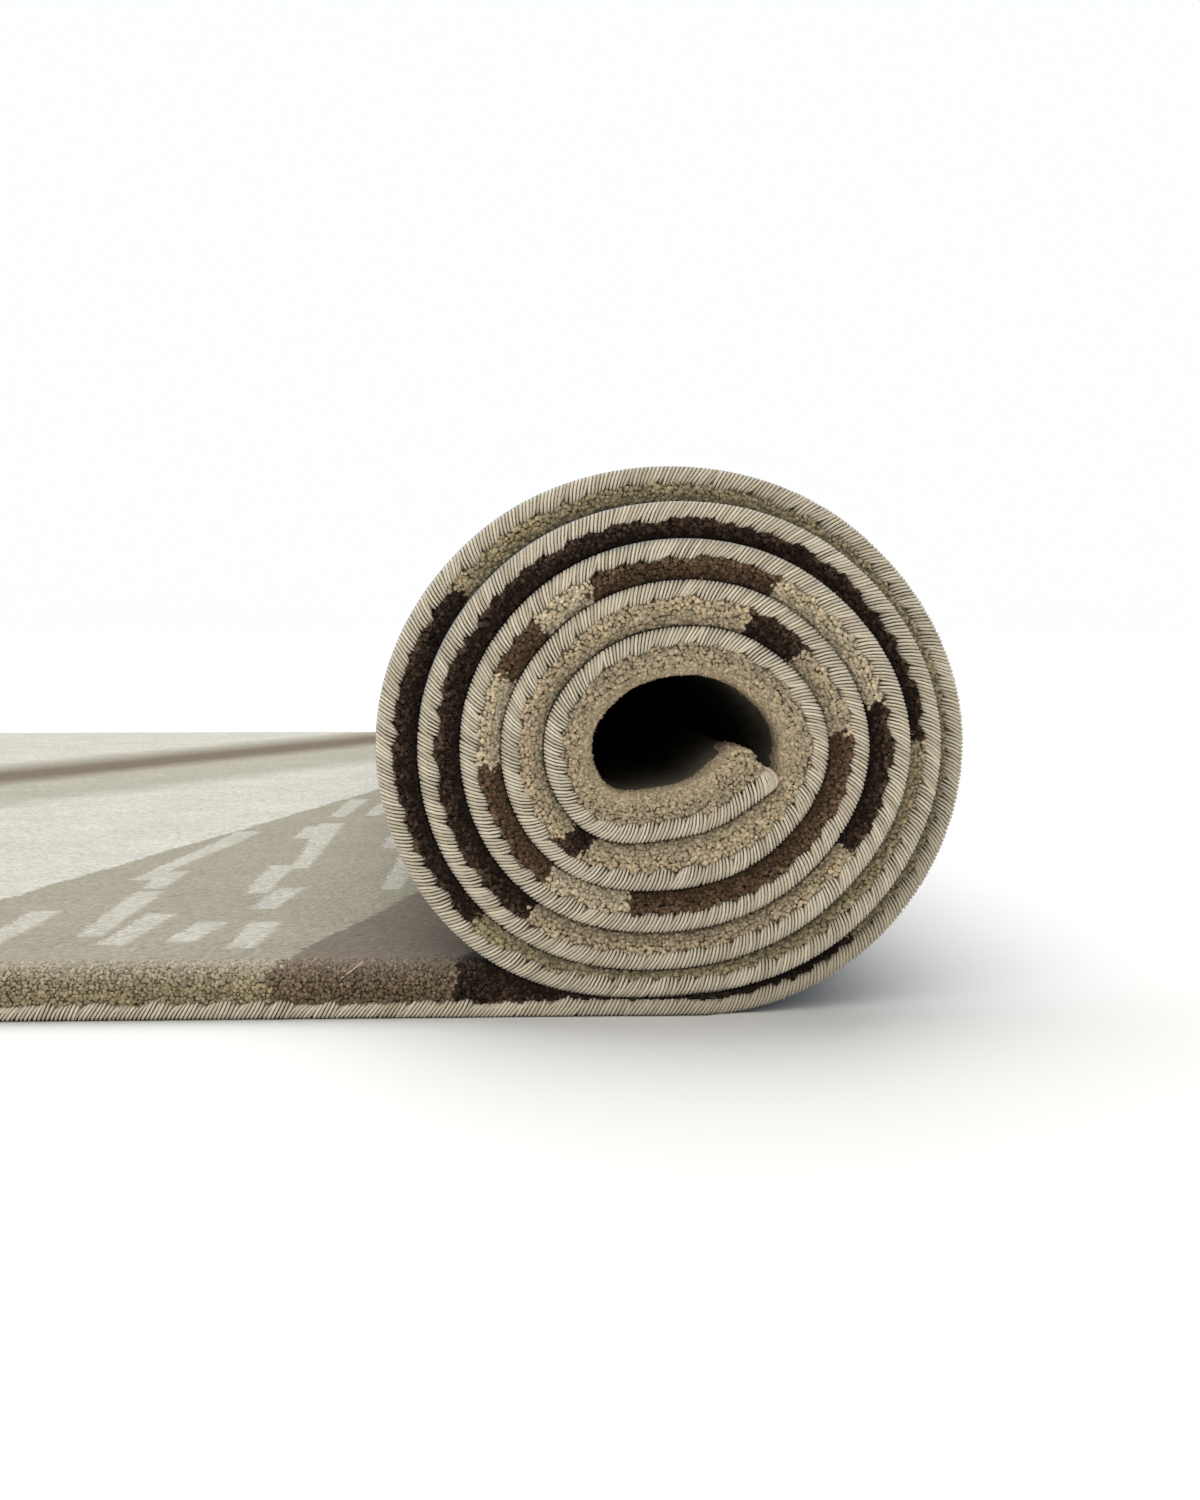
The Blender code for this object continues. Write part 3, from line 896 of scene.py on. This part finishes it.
def tip_tufts(name, depth, spacing, finish):
    """Tufts over the end of the pile at the tip of the tongue, for a little way in."""
    columns, rows = np.arange(3 * MM, depth, spacing), np.arange(0, 9 * MM, spacing)
    across, along = np.meshgrid(columns, rows, indexing="ij")
    shape = across.shape
    across = across + RNG.uniform(-JITTER, JITTER, shape) * spacing
    angle = np.clip(along / END_ROUNDING, 0, math.pi / 2)
    top = rug.read("thickness", rug.length - 6 * MM)
    over = np.maximum(along - 7.8 * MM, 0)
    run = rug.length - END_SETBACK - 4.5 * MM * (1 - np.cos(angle)) - over
    above = top - 4.5 * MM + 4.2 * MM * np.sin(angle)
    run = run + RNG.uniform(-JITTER, JITTER, shape) * MM
    size = spacing * RNG.uniform(*TUFT_SIZES, shape)
    placed = (run.ravel(), across.ravel(), above.ravel(), size.ravel())
    # these tufts take 0.8 of the painted light, nearly as much as those in the open
    return tufts(name, *placed, finish, 0.8, across.ravel())


FUZZ_START = 0.33           # metres: there is no fuzz on the part of the flat stretch before this run
FIBRE_RADII = np.array([0.045, 0.04, 0.03, 0.012]) * MM


def fuzz(name, count, low, high, finish):
    """Loose fibres that stand out from the near edge, between two heights above the back."""
    run = RNG.uniform(FUZZ_START, rug.length - 2 * MM, count)
    thick = rug.read("thickness", run)
    above = low + (np.minimum(high, thick) - low) * RNG.uniform(0, 1, count)
    across = np.full(count, 0.9 * MM)
    steps = len(FIBRE_RADII)
    start = rug.place(run, across, above)
    outward = rug.place(run, across - MM, above) - start
    aside = RNG.standard_normal((count, 3)) * MM
    way = unit(unit(outward) * 0.55 + unit(aside))
    curl = unit(RNG.standard_normal((count, 3)))
    reach = RNG.uniform(0.7, 2.0, count)[:, None] * MM
    share = np.linspace(0, 1, steps)[None, :, None]
    paths = start[:, None] + way[:, None] * reach[:, None] * share
    paths += curl[:, None] * reach[:, None] * 0.5 * share**2
    radius = np.broadcast_to(FIBRE_RADII, (count, steps))
    hint = unit(RNG.standard_normal((count, 1, 3)))
    points, quads, caps = tube_mesh(paths, radius, FIBRE_SIDES, hint)
    tone = RNG.uniform(0.4, 1, count)
    marks = np.stack([run, np.full(count, 2 * MM), tone], -1).repeat(steps * FIBRE_SIDES, axis=0)
    return mesh_piece(name, points, quads.tolist() + caps.tolist(), finish, marks)


def stray_fibre(finish):
    """One pale fibre caught on the pile in front of the roll."""
    steps, sides = 8, 5
    share = np.linspace(0, 1, steps)
    run = FLAT_LENGTH + (-92 + 6.5 * share) * MM
    across = (2.0 + 3 * share**2) * MM
    above = FLAT_THICKNESS + (-3.4 + 4.6 * share) * MM
    path = rug.place(run, across, above)[None]
    radius = (0.22 - 0.12 * share)[None] * MM
    points, quads, caps = tube_mesh(path, radius, sides, np.array([0.0, 0.0, 1.0]))
    marks = np.stack([run, across, np.full(steps, 1.0)], -1).repeat(sides, axis=0)
    faces = quads.tolist() + caps.tolist()
    return mesh_piece("stray_fibre", points, faces, finish, marks)


# -------------------------------- the making
def make_rug():
    """All the pieces of the rug; the frame's carpet, backing and bindings, which they stand in for, are
    hidden.
    """
    design = design_group()
    plain_wool = wool("wool_pile_surface", design, tufted=False)
    tuft_wool = wool("wool_tufts", design, tufted=True)
    binding_yarn = yarn("binding_yarn")
    pile = ribbon("carpet_pile", pile_outline, plain_wool, END_SETBACK)
    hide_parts("carpet")
    back = ribbon("cotton_back", backing_outline, cotton("backing_cotton"), INSET)
    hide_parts("backing_cloth")
    near = Overcast("near", 1.15 * MM)
    edges = [near.piece("overcast_near_outer_turns", binding_yarn, 7, 0.0, 0.5),
             near.piece("overcast_near_inner_turns", binding_yarn, 7, 0.5, 1.0)]
    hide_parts("binding_near")
    for edge in ("far", "inner_end", "outer_end"):
        piece = Overcast(edge, 1.25 * MM).piece("overcast_" + edge, binding_yarn, 5)
        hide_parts("binding_" + edge)
        edges.append(piece)
    seen = FLAT_LENGTH - 215 * MM     # nearer the outer end the tufts are larger and fewer
    halfway = 1.32                    # the run where the tufts of the roll go over into the next piece
    trims = [
        edge_tufts("tufts_outer_end", 2 * MM, seen, 0, 1.7 * MM, tuft_wool, near),
        edge_tufts("tufts_front", seen, FLAT_LENGTH, 10 * MM, 1.05 * MM, tuft_wool, near),
        edge_tufts("tufts_outer_turns", FLAT_LENGTH, halfway, 0, 1.1 * MM, tuft_wool, near),
        edge_tufts("tufts_inner_turns", halfway, rug.length, 15 * MM, 1.1 * MM, tuft_wool, near),
        tip_tufts("tufts_tip", 45 * MM, 1.1 * MM, tuft_wool),
        fuzz("fuzz_pile", 3500, 5.5 * MM, 14 * MM, tuft_wool),
        fuzz("fuzz_binding", 1500, 0.8 * MM, 5.2 * MM, binding_yarn),
        stray_fibre(binding_yarn),
    ]


FLOOR_RADIUS = 30          # metres


def make_stage():
    """A plain pale floor that runs out of sight."""
    mesh = bpy.data.meshes.new("floor")
    bm = bmesh.new()
    bmesh.ops.create_circle(bm, cap_ends=True, segments=96, radius=FLOOR_RADIUS)
    bm.to_mesh(mesh)
    bm.free()
    floor = bpy.data.objects.new("floor", mesh)
    floor.location.z = cad_low.z
    bpy.context.scene.collection.objects.link(floor)
    material, n, shader = new_material("floor_white", {"Roughness": 0.7})
    light = n.mix_value(n.object_noise(6.0, 4.0), 0.885, 0.915)
    n.put(shader.inputs["Base Color"], n.add("CombineXYZ", {0: light, 1: light, 2: light}).outputs[0])
    mesh.materials.append(material)


def sun(name, towards, angle, strength, colour):
    """A distant lamp that shines in a direction, as large as an angle in degrees."""
    light = bpy.data.lights.new(name, "SUN")
    light.angle = math.radians(angle)
    light.energy = strength
    light.color = colour
    lamp = bpy.data.objects.new(name, light)
    lamp.rotation_euler = Vector(towards).to_track_quat("-Z", "Y").to_euler()
    bpy.context.scene.collection.objects.link(lamp)


def make_light():
    """A white studio: even light all round, soft light from high up behind on the left, and some from
    high up in front."""
    world = bpy.data.worlds.new("studio")
    bpy.context.scene.world = world
    world.use_nodes = True
    n = Nodes(world.node_tree)
    background = world.node_tree.nodes["Background"]
    path = n.add("LightPath")
    n.put(background.inputs["Color"], (0.97, 0.99, 1.0))
    n.put(background.inputs["Strength"], n.mix_value(path.outputs["Is Camera Ray"], 0.36, 1.02))
    sun("window_behind", (0.28, -1.0, -1.05), 80, 2.7, (1.0, 0.985, 0.95))
    sun("softbox_in_front", (0.25, 0.9, -0.8), 60, 1.2, (1.0, 0.99, 0.97))


# The camera's place, from the roll's middle line, the near edge and the floor, and how it is turned
CAMERA_LEFT = 54.8 * MM
CAMERA_BEFORE = 637.2 * MM
CAMERA_HEIGHT = 107.9 * MM
CAMERA_YAW = 3.16          # degrees to the right
CAMERA_PITCH = 2.96        # degrees down


def make_camera():
    """In front of the near end of the roll, a hand's breadth above the floor, looking slightly down."""
    data = bpy.data.cameras.new("camera")
    camera = bpy.data.objects.new("camera", data)
    bpy.context.scene.collection.objects.link(camera)
    data.lens = 55.2
    data.sensor_width = 36
    data.clip_start = 0.01
    data.clip_end = 100
    camera.location = (ROLL_X - CAMERA_LEFT, FRONT_Y - CAMERA_BEFORE, cad_low.z + CAMERA_HEIGHT)
    camera.rotation_euler = (math.radians(90 - CAMERA_PITCH), 0, -math.radians(CAMERA_YAW))
    bpy.context.scene.camera = camera


make_rug()
make_stage()
make_light()
make_camera()
bpy.context.scene.view_settings.view_transform = "Standard"
bpy.context.scene.view_settings.gamma = 0.87
